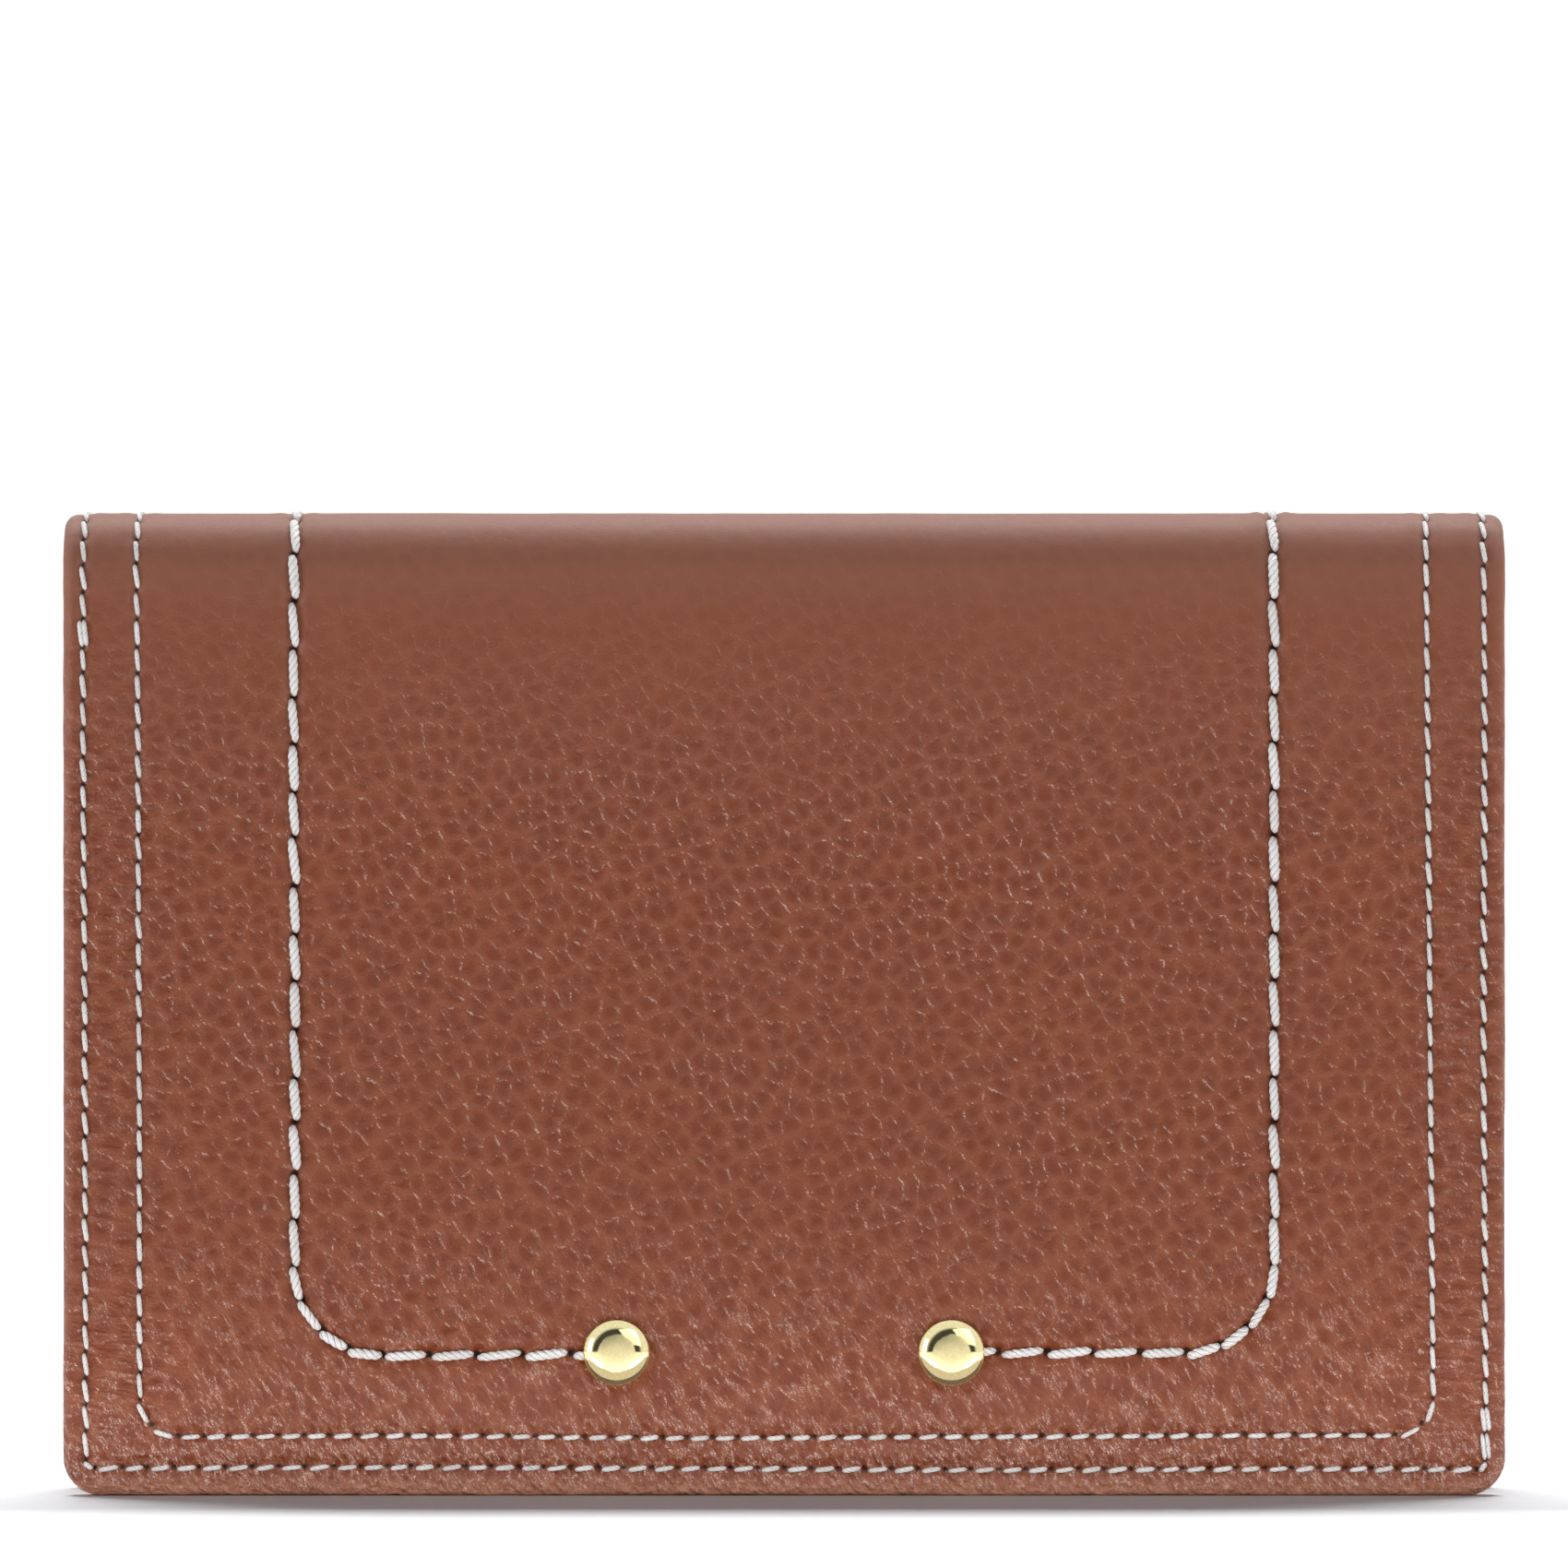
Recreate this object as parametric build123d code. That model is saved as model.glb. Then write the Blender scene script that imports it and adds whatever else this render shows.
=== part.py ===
"""A folding leather card holder: two stiffened covers joined over a soft spine fold.

It stands on its opening edge with the fold on top. +X runs along the fold, +Z is up and the front
cover faces -Y. The origin is the bottom centre of the whole closed holder, rivets included.

Every piece is first drawn around the plane midway between the two covers, as part of the back half.
"Depth" is measured from a cover's outer face towards that plane.
"""

from build123d import *
import os
from math import cos, radians, sin

# Whole holder, closed.
WIDTH = 110.0
HEIGHT = 75.0
BOTTOM_CORNER = 2.9
FOLD_RADIUS = 4.5
CLOSED_GAP = 0.35

# Cover layers, from the outer face inwards.
LEATHER = 1.1
BOARD = 0.6
LINING = 0.5
COVER = LEATHER + BOARD + LINING
HEM = 8.0
OUTER_ROUND = 1.1
INNER_ROUND = 0.5
BOARD_PLAY = 0.15
BOARD_BELOW_FOLD = 0.5
LINING_PLAY = 0.1

# Where a cover's pieces end on the bend and the spine's begin, in degrees from the outer face, and
# half the angle left open between them.
FOLD_LINE = 45
FOLD_SLIT = 0.7

# Interior panels. A payment card is 85.6 x 54.0 x 0.76 mm.
PANEL_FABRIC = 0.5
POCKET_LEATHER = 0.6
CARD_GAP = 0.85
PANEL_INSET = 0.8
PANEL_CORNER = 2.4
PANEL_MOUTH = 66.0
SLIP_SEAM = 2.7
POCKET_HALF_WIDTH = 51.3
POCKET_FOOT = 2.4
POCKET_CORNER = 2.0
POCKET_SEAM = 5.3
LOWER_MOUTH = 47.0
UPPER_MOUTH = 57.0
LOWER_SLOT_FOOT = 6.0
UPPER_SLOT_FOOT = 15.5
MOUTH_ROUND = 0.2

# Stitch rows on the covers: half the distance between the legs, height of the bottom run,
# corner radius, thread width and thread depth.
OUTER_ROW = (53.4, 2.04, 0.7, 0.4, 0.3)
INNER_ROW = (49.3, 4.5, 2.8, 0.4, 0.3)
HEAVY_ROW = (37.35, 10.8, 6.7, 0.75, 0.4)
ROW_OVERLAP = 1.0
MOUTH_ROW_DROP = 2.0
MOUTH_ROW_WIDTH = 0.3
MOUTH_ROW_DEPTH = 0.15

# Two domed rivets at the ends of the heavy row.
RIVET_X = 12.76
RIVET_Z = 10.93
CAP_RADIUS = 2.5
CAP_HEIGHT = 1.3
CAP_RIM = 0.45
CAP_CROWN = 0.45
CAP_SHOULDER = 0.86
POST_RADIUS = 0.8
POST_CLEARANCE = 0.05
POST_IN_CAP = 0.6
BACK_DISC_RADIUS = 2.0
BACK_DISC = 0.5
BACK_DISC_CLEARANCE = 0.1

FRONT_STACK = COVER + PANEL_FABRIC + 2 * (CARD_GAP + POCKET_LEATHER)
BACK_STACK = FRONT_STACK + CARD_GAP
THICKNESS = FRONT_STACK + CLOSED_GAP + BACK_STACK
HALF = THICKNESS / 2
FOLD_FOOT = HEIGHT - FOLD_RADIUS
MID_PLANE_Y = CAP_HEIGHT / 2

# How near an edge's middle has to be to a face to count as lying on it.
ON_FACE = 0.01

# The fold lines: an axis this far inside both outer faces keeps the length of the leather's bend
# when the holder opens flat.
HINGE_DEPTH = FOLD_RADIUS * (1 - radians(90) / 2)


def at_angle(radius, degrees):
    """A point on the back fold's bend, as (y, z); 0 degrees is the outer face, 90 the top."""
    y = HALF - FOLD_RADIUS + radius * cos(radians(degrees))
    z = FOLD_FOOT + radius * sin(radians(degrees))
    return (y, z)


def bend_arc(radius, start, end):
    """An arc of the back fold's bend, in the YZ plane."""
    middle = (start + end) / 2
    return ThreePointArc(at_angle(radius, start), at_angle(radius, middle), at_angle(radius, end))


def along_x(section, width):
    """A YZ section drawn out to both sides along X."""
    return extrude(Plane.YZ * section, amount=width / 2, both=True)


def cover_layer(near, far, foot, width):
    """A layer of the back cover between two depths, from foot up to the middle of the bend."""
    end = FOLD_LINE - FOLD_SLIT
    outer = FOLD_RADIUS - near
    inner = FOLD_RADIUS - far
    edges = [
        Line((HALF - near, foot), (HALF - near, FOLD_FOOT)),
        bend_arc(outer, 0, end),
        Line(at_angle(outer, end), at_angle(inner, end)),
        bend_arc(inner, end, 0),
        Line((HALF - far, FOLD_FOOT), (HALF - far, foot)),
        Line((HALF - far, foot), (HALF - near, foot)),
    ]
    return along_x(make_face(edges), width)


def spine_layer(near, far, width):
    """A layer of the spine between two depths, from the middle of one bend to the other."""
    start = FOLD_LINE + FOLD_SLIT
    outer = FOLD_RADIUS - near
    inner = FOLD_RADIUS - far
    edges = [
        Line((0, HEIGHT - near), at_angle(outer, 90)),
        bend_arc(outer, 90, start),
        Line(at_angle(outer, start), at_angle(inner, start)),
        bend_arc(inner, start, 90),
        Line(at_angle(inner, 90), (0, HEIGHT - far)),
        Line((0, HEIGHT - far), (0, HEIGHT - near)),
    ]
    half = along_x(make_face(edges), width)
    return half + mirror(half, about=Plane.XZ)


def plate(half_width, foot, top, near, far, corner):
    """A flat plate between two depths, with its two bottom corners rounded."""
    blank = Pos(0, 0, (foot + top) / 2) * Box(2 * half_width, far - near, top - foot)
    uprights = blank.edges().filter_by(Axis.Y).group_by(Axis.Z)[0]
    return Pos(0, HALF - (near + far) / 2, 0) * fillet(uprights, corner)


def on_edge_of_cover(edge, depth):
    """True for an edge that runs round the rim of a cover or the spine, at one depth."""
    middle = edge.position_at(0.5)
    at_side = abs(abs(middle.X) - WIDTH / 2) < ON_FACE
    at_bottom = middle.Z < BOTTOM_CORNER
    if not (at_side or at_bottom):
        return False
    on_bend = middle.Z > FOLD_FOOT
    if not on_bend:
        return abs(abs(middle.Y) - (HALF - depth)) < ON_FACE
    on_top = abs(middle.Y) < HALF - FOLD_RADIUS
    if on_top:
        return abs(middle.Z - (HEIGHT - depth)) < ON_FACE
    from_centre = Vector(0, abs(middle.Y) - (HALF - FOLD_RADIUS), middle.Z - FOLD_FOOT).length
    return abs(from_centre - (FOLD_RADIUS - depth)) < ON_FACE


def round_rim(body):
    """Rounds the outer and inner corners of a turned edge."""
    outer = [edge for edge in body.edges() if on_edge_of_cover(edge, 0)]
    body = fillet(outer, OUTER_ROUND)
    inner = [edge for edge in body.edges() if on_edge_of_cover(edge, COVER)]
    return fillet(inner, INNER_ROUND)


def row_on_cover(row):
    """A U-shaped thread row lying in the outer face of the back cover and up half the bend."""
    half_width, foot, corner, thread, depth = row
    shoulder = foot + corner
    top = shoulder + ROW_OVERLAP
    edge = thread / 2
    outside = plate(half_width + edge, foot - edge, top, 0, depth, corner + edge)
    inside = plate(half_width - edge, foot + edge, top, 0, depth, corner - edge)
    bend = outside - inside
    leg = cover_layer(0, depth, shoulder, thread)
    return bend + Pos(half_width, 0, 0) * leg + Pos(-half_width, 0, 0) * leg


def row_on_spine(row):
    """The two legs of a thread row where they cross over the spine."""
    half_width, _, _, thread, depth = row
    leg = spine_layer(0, depth, thread)
    return [Pos(x, 0, 0) * leg for x in (-half_width, half_width)]


def rivet_places():
    """The two rivet axes, pointing outwards from the outer face of the back half's frame."""
    towards_outside = Rot(-90, 0, 0)
    return [Pos(x, HALF, RIVET_Z) * towards_outside for x in (-RIVET_X, RIVET_X)]


def at_rivets(piece):
    """One copy of a piece at each rivet; the piece's +Z points out of the cover."""
    return [place * piece for place in rivet_places()]


def rivet_cap():
    """A flattened brass dome on a short upright rim, with a blind hole for its post."""
    crown_foot = CAP_HEIGHT - CAP_CROWN
    profile = [
        Line((0, 0), (CAP_RADIUS, 0)),
        Line((CAP_RADIUS, 0), (CAP_RADIUS, CAP_RIM)),
        Spline(
            (CAP_RADIUS, CAP_RIM),
            (CAP_RADIUS * CAP_SHOULDER, crown_foot),
            (0, CAP_HEIGHT),
            tangents=[(0, 1), (-1, 0)],
        ),
        Line((0, CAP_HEIGHT), (0, 0)),
    ]
    dome = revolve(Plane.XZ * make_face(profile), axis=Axis.Z)
    hole = Cylinder(POST_RADIUS, POST_IN_CAP, align=(Align.CENTER, Align.CENTER, Align.MIN))
    return dome - hole


def rivet_post():
    """A post through the leather, with a flat disc behind it in the board's cut-out."""
    upright = (Align.CENTER, Align.CENTER, Align.MIN)
    post = Pos(0, 0, -LEATHER) * Cylinder(POST_RADIUS, LEATHER + POST_IN_CAP, align=upright)
    disc = Pos(0, 0, -LEATHER - BACK_DISC) * Cylinder(BACK_DISC_RADIUS, BACK_DISC, align=upright)
    return post + disc


def rivet_hole(radius):
    """A drill through a whole cover."""
    return Cylinder(radius, 2 * COVER)


def cover_leather(rows, holes):
    """Outer leather of a cover, turned round the board on three sides into a hem."""
    body = cover_layer(0, COVER, 0, WIDTH)
    corners = body.edges().filter_by(Axis.Y).group_by(Axis.Z)[0]
    body = round_rim(fillet(corners, BOTTOM_CORNER))
    body -= cover_layer(LEATHER, LEATHER + BOARD, LEATHER, WIDTH - 2 * LEATHER)
    body -= cover_layer(LEATHER + BOARD, COVER, HEM, WIDTH - 2 * HEM)
    for cutter in rows + holes:
        body -= cutter
    return body


def spine_leather(rows):
    """Outer leather over the spine, its two ends turned in like the covers."""
    body = round_rim(spine_layer(0, COVER, WIDTH))
    body -= spine_layer(LEATHER, LEATHER + BOARD, WIDTH - 2 * LEATHER)
    body -= spine_layer(LEATHER + BOARD, COVER, WIDTH - 2 * HEM)
    for cutter in rows:
        body -= cutter
    return body


def board(holes):
    """Stiffening board inside a cover, clear of the hem's fold and of the spine's bend."""
    foot = LEATHER + BOARD_PLAY
    half_width = WIDTH / 2 - LEATHER - BOARD_PLAY
    corner = BOTTOM_CORNER - LEATHER
    body = plate(half_width, foot, FOLD_FOOT - BOARD_BELOW_FOLD, LEATHER, LEATHER + BOARD, corner)
    for cutter in holes:
        body -= cutter
    return body


def lining():
    """Lining of a cover, between the hems and up half the bend."""
    return cover_layer(LEATHER + BOARD, COVER, HEM + LINING_PLAY, WIDTH - 2 * (HEM + LINING_PLAY))


def mouth_row(half_width, mouth, inner_face):
    """A straight thread row just below a pocket's mouth, set in the face that the user sees."""
    blank = Box(2 * half_width, MOUTH_ROW_DEPTH, MOUTH_ROW_WIDTH)
    return Pos(0, HALF - inner_face + MOUTH_ROW_DEPTH / 2, mouth - MOUTH_ROW_DROP) * blank


def panel(half_width, foot, mouth, near, thickness, corner, row):
    """A pocket panel with its mouth edge eased and its thread row let in."""
    body = plate(half_width, foot, mouth, near, near + thickness, corner)
    mouth_edges = body.edges().filter_by(Axis.X).group_by(Axis.Z)[-1]
    return fillet(mouth_edges, MOUTH_ROUND) - row


def seam_fillers(half_width, foot, mouth, near, seam, slot_foot, corner):
    """Three strips that hold a pocket open by a card's thickness: left, right and bottom."""
    blank = plate(half_width, foot, mouth - MOUTH_ROUND, near, near + CARD_GAP, corner)
    beside = mouth - slot_foot
    side = Pos(half_width - seam / 2, HALF, slot_foot + beside / 2) * Box(seam, THICKNESS, beside)
    below = Pos(0, HALF, (foot + slot_foot) / 2) * Box(2 * half_width, THICKNESS, slot_foot - foot)
    return [blank & side, blank & mirror(side, about=Plane.YZ), blank & below]


def card_pocket(near, mouth, slot_foot):
    """One card slot: its fillers, its panel and the row below its mouth."""
    face = near + CARD_GAP + POCKET_LEATHER
    row = mouth_row(POCKET_HALF_WIDTH - POCKET_SEAM, mouth, face)
    fillers = seam_fillers(
        POCKET_HALF_WIDTH, POCKET_FOOT, mouth, near, POCKET_SEAM, slot_foot, POCKET_CORNER
    )
    front = panel(
        POCKET_HALF_WIDTH, POCKET_FOOT, mouth, near + CARD_GAP, POCKET_LEATHER, POCKET_CORNER, row
    )
    return fillers, front, row


def interior(name, base_depth):
    """The fabric panel and the two staggered card slots of one cover, by node name."""
    upper_near = base_depth + PANEL_FABRIC
    lower_near = upper_near + CARD_GAP + POCKET_LEATHER
    half_width = WIDTH / 2 - PANEL_INSET
    base_row = mouth_row(half_width - PANEL_INSET - SLIP_SEAM, PANEL_MOUTH, upper_near)
    base = panel(
        half_width, PANEL_INSET, PANEL_MOUTH, base_depth, PANEL_FABRIC, PANEL_CORNER, base_row
    )
    upper_fillers, upper_panel, upper_row = card_pocket(upper_near, UPPER_MOUTH, UPPER_SLOT_FOOT)
    lower_fillers, lower_panel, lower_row = card_pocket(lower_near, LOWER_MOUTH, LOWER_SLOT_FOOT)
    return {
        name + "_base_panel": [base],
        name + "_upper_pocket": [upper_panel],
        name + "_upper_pocket_fillers": upper_fillers,
        name + "_lower_pocket": [lower_panel],
        name + "_lower_pocket_fillers": lower_fillers,
        name + "_mouth_stitching": [base_row, upper_row, lower_row],
    }


def back_half():
    """The nodes that move with the back cover."""
    rows = [row_on_cover(row) for row in (OUTER_ROW, INNER_ROW, HEAVY_ROW)]
    half_width = WIDTH / 2 - PANEL_INSET
    nodes = {
        "back_cover_leather": [cover_leather(rows, [])],
        "back_board": [board([])],
        "back_lining": [lining()],
        "back_slip_pocket_fillers": seam_fillers(
            half_width, PANEL_INSET, PANEL_MOUTH, COVER, SLIP_SEAM, PANEL_INSET + SLIP_SEAM, PANEL_CORNER
        ),
        "back_outer_stitching": [rows[0]],
        "back_inner_stitching": [rows[1]],
        "back_heavy_stitching": [rows[2]],
    }
    return nodes | interior("back", COVER + CARD_GAP)


def front_half():
    """The nodes that move with the front cover, still drawn on the back half's side."""
    between_rivets = Pos(0, HALF, 0) * Box(2 * RIVET_X, THICKNESS, 2 * HEIGHT)
    rows = [row_on_cover(OUTER_ROW), row_on_cover(INNER_ROW), row_on_cover(HEAVY_ROW) - between_rivets]
    post_holes = at_rivets(rivet_hole(POST_RADIUS + POST_CLEARANCE))
    disc_holes = at_rivets(rivet_hole(BACK_DISC_RADIUS + BACK_DISC_CLEARANCE))
    heavy_row = rows[2]
    for hole in post_holes:
        heavy_row -= hole
    nodes = {
        "front_cover_leather": [cover_leather(rows, post_holes)],
        "front_board": [board(disc_holes)],
        "front_lining": [lining()],
        "front_outer_stitching": [rows[0]],
        "front_inner_stitching": [rows[1]],
        "front_heavy_stitching": list(heavy_row.solids()),
        "rivet_caps": at_rivets(rivet_cap()),
        "rivet_posts": at_rivets(rivet_post()),
    }
    return nodes | interior("front", COVER)


def spine():
    """The nodes that move with the spine."""
    rows = {
        "spine_outer_stitching": row_on_spine(OUTER_ROW),
        "spine_inner_stitching": row_on_spine(INNER_ROW),
        "spine_heavy_stitching": row_on_spine(HEAVY_ROW),
    }
    cutters = [leg for legs in rows.values() for leg in legs]
    side_play = LEATHER + BOARD_PLAY
    nodes = {
        "spine_leather": [spine_leather(cutters)],
        "spine_reinforcement": [spine_layer(LEATHER, LEATHER + BOARD, WIDTH - 2 * side_play)],
        "spine_lining": [spine_layer(LEATHER + BOARD, COVER, WIDTH - 2 * (HEM + LINING_PLAY))],
    }
    return nodes | rows


def write(nodes, mirrored):
    """Writes each node's solids to its own STEP file, in the holder's own frame."""
    to_frame = Pos(0, MID_PLANE_Y, 0)
    for name, pieces in nodes.items():
        solids = [solid for piece in pieces for solid in piece.solids()]
        if mirrored:
            solids = [mirror(solid, about=Plane.XZ) for solid in solids]
        export_step(Compound(children=[to_frame * solid for solid in solids]), f"parts/{name}.step")


os.makedirs("parts", exist_ok=True)
write(back_half(), mirrored=False)
write(spine(), mirrored=False)
write(front_half(), mirrored=True)

hinge_y = HALF - HINGE_DEPTH
print("closed thickness", round(THICKNESS, 3), "overall depth", round(THICKNESS + CAP_HEIGHT, 3))
print("back fold line, metres: y", round((MID_PLANE_Y + hinge_y) / 1000, 6))
print("front fold line, metres: y", round((MID_PLANE_Y - hinge_y) / 1000, 6))
print("both fold lines, metres: z", round((HEIGHT - HINGE_DEPTH) / 1000, 6))
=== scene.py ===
"""Looks for a folding leather card holder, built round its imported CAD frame.

Lengths are in millimetres until a mesh is made. A cover's leather is drawn flat first: x runs along the
fold, v runs up the cover from its opening edge, over the bend and on to the middle of the spine, and
depth is measured inwards from the outer face. roll() then lays that flat drawing round the holder.
"""

import math

import bmesh
import bpy
import numpy as np
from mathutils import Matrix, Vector


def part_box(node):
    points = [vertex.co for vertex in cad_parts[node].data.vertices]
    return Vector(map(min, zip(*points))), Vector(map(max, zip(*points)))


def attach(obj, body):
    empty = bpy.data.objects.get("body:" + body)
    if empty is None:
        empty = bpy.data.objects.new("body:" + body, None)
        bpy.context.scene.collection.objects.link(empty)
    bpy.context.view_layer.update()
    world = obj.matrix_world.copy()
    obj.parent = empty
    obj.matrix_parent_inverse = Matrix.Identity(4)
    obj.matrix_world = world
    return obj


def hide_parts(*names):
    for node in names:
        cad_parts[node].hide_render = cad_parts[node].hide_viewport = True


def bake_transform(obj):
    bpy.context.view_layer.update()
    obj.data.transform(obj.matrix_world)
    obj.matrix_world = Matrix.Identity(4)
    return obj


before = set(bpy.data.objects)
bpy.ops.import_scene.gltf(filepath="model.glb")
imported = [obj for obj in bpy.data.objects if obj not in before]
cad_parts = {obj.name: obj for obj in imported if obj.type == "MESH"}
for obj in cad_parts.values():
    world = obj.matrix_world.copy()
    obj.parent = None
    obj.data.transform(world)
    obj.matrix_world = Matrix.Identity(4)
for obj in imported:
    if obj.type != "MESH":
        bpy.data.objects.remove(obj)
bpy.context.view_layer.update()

MM = 0.001

# The frame, in millimetres.
HALF_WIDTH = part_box("front_cover_leather")[1].x / MM
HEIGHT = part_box("spine_leather")[1].z / MM
FRONT_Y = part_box("front_cover_leather")[0].y / MM
BACK_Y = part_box("back_cover_leather")[1].y / MM
MIDDLE_Y = (FRONT_Y + BACK_Y) / 2
HALF = (BACK_Y - FRONT_Y) / 2
FOLD_RADIUS = 4.5
FOLD_FOOT = HEIGHT - FOLD_RADIUS
BEND_LENGTH = FOLD_RADIUS * math.pi / 2
V_SPINE = FOLD_FOOT + BEND_LENGTH
V_MIDDLE = V_SPINE + HALF - FOLD_RADIUS
FRONT, BACK = -1, 1

# Cover leather and its turned edge.
LEATHER = 1.1
BOARD_FOOT = 1.7
COVER = 2.2
HEM = 8.0
OUTER_ROUND = 1.1
INNER_ROUND = 0.5
BOTTOM_CORNER = 2.9

# Thread rows: half the distance between the legs, height of the bottom run, corner radius, thread
# radius, how far the row leans to the right at its foot, the stitch pitch and visible stitch length
# along the run, round the corner and up the legs, and where the front's stitches are sewn twice, as
# a side and two heights. PLY_DEPTH is the groove between its plies as a share of a thread's radius,
# and TWIN_GAP is half the distance between a doubled stitch's two threads.
OUTER_ROW = dict(
    half=53.4, foot=2.04, corner=0.7, radius=0.20, drift=0.15, pitch=(2.0, 2.0, 2.07), shown=(1.5, 1.6, 1.86),
    doubled=((-1, 64.0, 67.5), (1, 2.6, 7.1)),
)
INNER_ROW = dict(
    half=49.2, foot=4.5, corner=2.9, radius=0.20, drift=0.55, pitch=(1.92, 1.9, 2.07), shown=(1.44, 1.65, 1.9)
)
HEAVY_ROW = dict(
    half=37.3, foot=10.8, corner=6.7, radius=0.37, drift=0.0, pitch=(3.4, 2.95, 3.58), shown=(3.35, 2.95, 3.6)
)
PLIES = 3
PLY_DEPTH = 0.30
TWIN_GAP = 0.17

# Rivet caps: their places on the front cover and their size.
RIVET_X = 12.76
RIVET_Z = 10.93
CAP_RADIUS = 2.5
CAP_HEIGHT = 1.3
CAP_WALL = 0.50


# ---------------------------------------------------------------- numbers and noise


def smooth(value, low, high):
    """0 below low, 1 above high, and an even S between them."""
    t = np.clip((value - low) / (high - low), 0, 1)
    return t * t * (3 - 2 * t)


def lumps(x, v, size, seed):
    """Smooth seeded noise from -1 to 1 with features of about the given size."""
    table = np.random.RandomState(seed).uniform(-1, 1, (64, 64))
    gx, gv = x / size + 17.3, v / size + 5.7
    ix, iv = np.floor(gx).astype(int), np.floor(gv).astype(int)
    fx, fv = gx - ix, gv - iv
    fx, fv = fx * fx * (3 - 2 * fx), fv * fv * (3 - 2 * fv)
    low = table[ix % 64, iv % 64] * (1 - fx) + table[(ix + 1) % 64, iv % 64] * fx
    high = table[ix % 64, (iv + 1) % 64] * (1 - fx) + table[(ix + 1) % 64, (iv + 1) % 64] * fx
    return low * (1 - fv) + high * fv


def roll(side, x, v, depth):
    """Points of a flat drawing laid round one half of the holder, in millimetres."""
    x, v, depth = np.broadcast_arrays(*(np.asarray(a, float) for a in (x, v, depth)))
    angle = np.clip((v - FOLD_FOOT) / FOLD_RADIUS, 0, math.pi / 2)
    radius = FOLD_RADIUS - depth
    past = np.maximum(v - V_SPINE, 0)
    out = HALF - FOLD_RADIUS + radius * np.cos(angle) - past
    z = np.minimum(v, FOLD_FOOT) + radius * np.sin(angle)
    return np.stack([x, MIDDLE_Y + side * out, z], axis=-1)


# ---------------------------------------------------------------- thread rows


def leg_start(row):
    """Length along a row from its middle to the foot of a leg."""
    return row["half"] - row["corner"] + row["corner"] * math.pi / 2


def row_length(row):
    """Length along a row from its middle to the middle of the spine."""
    return leg_start(row) + V_MIDDLE - row["foot"] - row["corner"]


def wander(x, v, row):
    """How far a hand-guided row strays from its true line."""
    seed = int(row["half"] * 10)
    lean = row["drift"] * (0.5 - np.clip(v / V_MIDDLE, 0, 1)) * smooth(V_MIDDLE - v, 0, 8)
    return 0.14 * lumps(x, v, 26.0, seed) - lean, 0.14 * lumps(x, v, 23.0, seed + 1)


def on_row(row, s):
    """Place and heading of the points at lengths s along a row, from its middle, + to the right."""
    s = np.asarray(s, float)
    side, t = np.where(s < 0, -1.0, 1.0), np.abs(s)
    run, start = row["half"] - row["corner"], leg_start(row)
    turn = np.clip((t - run) / row["corner"], 0, math.pi / 2)
    x = np.minimum(t, run) + row["corner"] * np.sin(turn)
    v = row["foot"] + row["corner"] * (1 - np.cos(turn)) + np.maximum(t - start, 0)
    dx, dv = wander(side * x, v, row)
    return side * x - dx, v - dv, np.cos(turn), side * np.sin(turn)


def near_row(row, x, v):
    """Distance inside a row's line, and length along it, for points of the flat drawing."""
    dx, dv = wander(x, v, row)
    x, v = x + dx, v + dv
    side, across = np.where(x < 0, -1.0, 1.0), np.abs(x)
    centre_x, centre_v = row["half"] - row["corner"], row["foot"] + row["corner"]
    over, under = across - centre_x, centre_v - v
    at_corner = (over > 0) & (under > 0)
    from_leg, from_run = row["half"] - across, v - row["foot"]
    by_leg = np.where(under > 0, False, (over > 0) | (np.abs(from_leg) < np.abs(from_run)))
    inside = np.where(by_leg, from_leg, from_run)
    s = np.where(by_leg, leg_start(row) - under, np.minimum(across, centre_x))
    inside = np.where(at_corner, row["corner"] - np.hypot(over, under), inside)
    s = np.where(at_corner, centre_x + row["corner"] * np.arctan2(over, under), s)
    return inside, side * s


def stretches(row, first):
    """The run, the corner and the leg of a row, each as its start and end along the row."""
    turn = row["half"] - row["corner"]
    return ((first, turn), (turn, leg_start(row)), (leg_start(row), row_length(row)))


def stitch_holes(row, first):
    """Lengths along a row of its needle holes, from first out to the middle of the spine."""
    holes = [np.array([first])]
    for (start, end), pitch in zip(stretches(row, first), row["pitch"]):
        count = max(1, round((end - start) / pitch))
        jitter = np.random.RandomState(int(start)).uniform(-0.06, 0.06, count)
        jitter[-1] = 0
        holes.append(start + (np.arange(1, count + 1) + jitter) * (end - start) / count)
    return np.concatenate(holes)


def row_holes(row, first):
    """Every needle hole of a row; first is where it starts on each side of the middle."""
    right = stitch_holes(row, first)
    if first > 0:
        return [(-right)[::-1], right]
    return [np.concatenate([(-right)[::-1], right[1:]])]


def nearest(values, targets):
    """Distance from each value to the nearest of some sorted targets."""
    at = np.clip(np.searchsorted(targets, values), 1, len(targets) - 1)
    return np.minimum(np.abs(values - targets[at - 1]), np.abs(values - targets[at]))


# ---------------------------------------------------------------- flat tiles


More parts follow.
